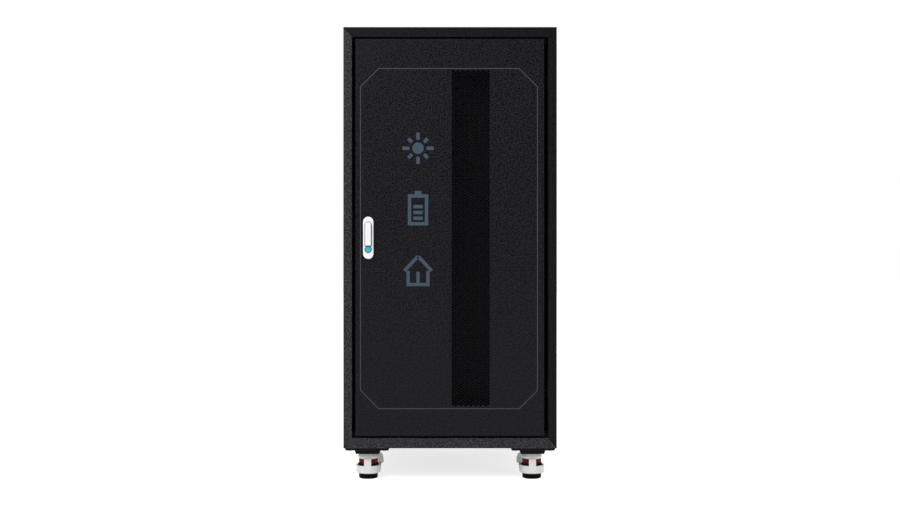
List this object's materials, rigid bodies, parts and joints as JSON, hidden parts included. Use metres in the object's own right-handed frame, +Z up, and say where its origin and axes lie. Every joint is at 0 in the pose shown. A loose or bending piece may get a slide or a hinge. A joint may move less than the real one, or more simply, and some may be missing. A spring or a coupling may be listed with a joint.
{
  "type": "battery cabinet",
  "caption": "Upright black cabinet on levelling casters, with a perforated strip in its hinged door and a stack of rack battery modules on two busbars inside.",
  "frame": {"origin": "on the floor, under the middle of the whole object's box, handle included", "axes": "+Z up, the door faces -Y, +X is to the right of someone facing the door"},
  "size_m": [0.53, 0.6154, 1.13],
  "materials": {
    "powder_coat": "satin",
    "zinc_steel": "satin",
    "black_steel": "matte",
    "module_case": "matte",
    "handle_white": "satin",
    "button_blue": "gloss",
    "copper": "satin",
    "insulator_red": "matte",
    "breaker_grey": "matte",
    "rubber_black": "matte",
    "caster_white": "satin",
    "wheel_nylon": "matte",
    "thumbwheel_red": "gloss"
  },
  "bodies": {
    "cabinet": {"battery_module_1": "module_case", "battery_module_2": "module_case", "battery_module_3": "module_case", "battery_module_4": "module_case", "battery_module_5": "module_case", "battery_module_6": "module_case", "bottom_panel": "powder_coat", "busbar_crossbars": "zinc_steel", "busbar_insulators": "insulator_red", "busbar_negative": "copper", "busbar_positive": "copper", "cable_gland_plate": "zinc_steel", "cable_grommets": "rubber_black", "caster_foot_plates": "black_steel", "caster_top_plates": "black_steel", "door_bumpers": "rubber_black", "earth_bar": "copper", "front_post_left": "black_steel", "front_post_right": "black_steel", "hinge_bracket_lower": "black_steel", "hinge_bracket_upper": "black_steel", "left_side_panel": "powder_coat", "module_breakers": "breaker_grey", "module_handles": "black_steel", "module_terminals": "insulator_red", "rear_panel": "powder_coat", "rear_post_left": "black_steel", "rear_post_right": "black_steel", "right_side_panel": "powder_coat", "shelf_rails_left": "black_steel", "shelf_rails_right": "black_steel", "strike_plate": "black_steel", "top_panel": "powder_coat"},
    "door": {"door_skin": "powder_coat", "door_stiffeners": "powder_coat", "door_knuckle_lower": "black_steel", "door_knuckle_upper": "black_steel", "handle_base": "handle_white"},
    "latch": {"handle_spindle": "zinc_steel", "latch_tongue": "zinc_steel"},
    "lever": {"handle_lever": "handle_white"},
    "button": {"lock_button": "button_blue"},
    "swivel_front_left": {"caster_housing_front_left": "caster_white"},
    "wheel_front_left": {"caster_wheel_front_left": "wheel_nylon"},
    "thumbwheel_front_left": {"caster_thumbwheel_front_left": "thumbwheel_red"},
    "foot_front_left": {"caster_foot_front_left": "rubber_black"},
    "swivel_front_right": {"caster_housing_front_right": "caster_white"},
    "wheel_front_right": {"caster_wheel_front_right": "wheel_nylon"},
    "thumbwheel_front_right": {"caster_thumbwheel_front_right": "thumbwheel_red"},
    "foot_front_right": {"caster_foot_front_right": "rubber_black"},
    "swivel_rear_left": {"caster_housing_rear_left": "caster_white"},
    "wheel_rear_left": {"caster_wheel_rear_left": "wheel_nylon"},
    "thumbwheel_rear_left": {"caster_thumbwheel_rear_left": "thumbwheel_red"},
    "foot_rear_left": {"caster_foot_rear_left": "rubber_black"},
    "swivel_rear_right": {"caster_housing_rear_right": "caster_white"},
    "wheel_rear_right": {"caster_wheel_rear_right": "wheel_nylon"},
    "thumbwheel_rear_right": {"caster_thumbwheel_rear_right": "thumbwheel_red"},
    "foot_rear_right": {"caster_foot_rear_right": "rubber_black"}
  },
  "joints": [
    {"name": "door_hinge", "type": "hinge", "parent": "cabinet", "child": "door", "pos_m": [0.226, -0.28425, 0.60775], "axis": [0, 0, 1], "range_deg": [0, 110]},
    {"name": "handle_turn", "type": "hinge", "parent": "door", "child": "latch", "pos_m": [-0.2027, -0.29925, 0.6415], "axis": [0, -1, 0], "range_deg": [0, 90]},
    {"name": "lever_lift", "type": "hinge", "parent": "latch", "child": "lever", "pos_m": [-0.2027, -0.30375, 0.6415], "axis": [-1, 0, 0], "range_deg": [0, 35]},
    {"name": "button_push", "type": "slide", "parent": "door", "child": "button", "axis": [0, 1, 0], "range_m": [0, 0.003], "stiffness_N_per_m": 600},
    {"name": "swivel_turn_front_left", "type": "hinge", "parent": "cabinet", "child": "swivel_front_left", "pos_m": [-0.207, -0.22625, 0.0637], "axis": [0, 0, 1], "continuous": true},
    {"name": "wheel_spin_front_left", "type": "hinge", "parent": "swivel_front_left", "child": "wheel_front_left", "pos_m": [-0.19406, -0.17795, 0.027], "axis": [0.9659, -0.2588, 0], "continuous": true},
    {"name": "thumbwheel_turn_front_left", "type": "hinge", "parent": "swivel_front_left", "child": "thumbwheel_front_left", "pos_m": [-0.207, -0.22625, 0.05], "axis": [0, 0, 1], "range_deg": [-900, 1800]},
    {"name": "foot_slide_front_left", "type": "slide", "parent": "swivel_front_left", "child": "foot_front_left", "axis": [0, 0, 1], "range_m": [-0.005, 0.01]},
    {"name": "swivel_turn_front_right", "type": "hinge", "parent": "cabinet", "child": "swivel_front_right", "pos_m": [0.207, -0.22625, 0.0637], "axis": [0, 0, 1], "continuous": true},
    {"name": "wheel_spin_front_right", "type": "hinge", "parent": "swivel_front_right", "child": "wheel_front_right", "pos_m": [0.19406, -0.17795, 0.027], "axis": [0.9659, 0.2588, 0], "continuous": true},
    {"name": "thumbwheel_turn_front_right", "type": "hinge", "parent": "swivel_front_right", "child": "thumbwheel_front_right", "pos_m": [0.207, -0.22625, 0.05], "axis": [0, 0, 1], "range_deg": [-900, 1800]},
    {"name": "foot_slide_front_right", "type": "slide", "parent": "swivel_front_right", "child": "foot_front_right", "axis": [0, 0, 1], "range_m": [-0.005, 0.01]},
    {"name": "swivel_turn_rear_left", "type": "hinge", "parent": "cabinet", "child": "swivel_rear_left", "pos_m": [-0.207, 0.24175, 0.0637], "axis": [0, 0, 1], "continuous": true},
    {"name": "wheel_spin_rear_left", "type": "hinge", "parent": "swivel_rear_left", "child": "wheel_rear_left", "pos_m": [-0.19406, 0.19345, 0.027], "axis": [-0.9659, -0.2588, 0], "continuous": true},
    {"name": "thumbwheel_turn_rear_left", "type": "hinge", "parent": "swivel_rear_left", "child": "thumbwheel_rear_left", "pos_m": [-0.207, 0.24175, 0.05], "axis": [0, 0, 1], "range_deg": [-900, 1800]},
    {"name": "foot_slide_rear_left", "type": "slide", "parent": "swivel_rear_left", "child": "foot_rear_left", "axis": [0, 0, 1], "range_m": [-0.005, 0.01]},
    {"name": "swivel_turn_rear_right", "type": "hinge", "parent": "cabinet", "child": "swivel_rear_right", "pos_m": [0.207, 0.24175, 0.0637], "axis": [0, 0, 1], "continuous": true},
    {"name": "wheel_spin_rear_right", "type": "hinge", "parent": "swivel_rear_right", "child": "wheel_rear_right", "pos_m": [0.19406, 0.19345, 0.027], "axis": [-0.9659, 0.2588, 0], "continuous": true},
    {"name": "thumbwheel_turn_rear_right", "type": "hinge", "parent": "swivel_rear_right", "child": "thumbwheel_rear_right", "pos_m": [0.207, 0.24175, 0.05], "axis": [0, 0, 1], "range_deg": [-900, 1800]},
    {"name": "foot_slide_rear_right", "type": "slide", "parent": "swivel_rear_right", "child": "foot_rear_right", "axis": [0, 0, 1], "range_m": [-0.005, 0.01]}
  ],
  "couplings": [
    {"joint": "foot_slide_front_left", "follows": "thumbwheel_turn_front_left", "m_per_rad": 0.00031831},
    {"joint": "foot_slide_front_right", "follows": "thumbwheel_turn_front_right", "m_per_rad": 0.00031831},
    {"joint": "foot_slide_rear_left", "follows": "thumbwheel_turn_rear_left", "m_per_rad": 0.00031831},
    {"joint": "foot_slide_rear_right", "follows": "thumbwheel_turn_rear_right", "m_per_rad": 0.00031831}
  ]
}
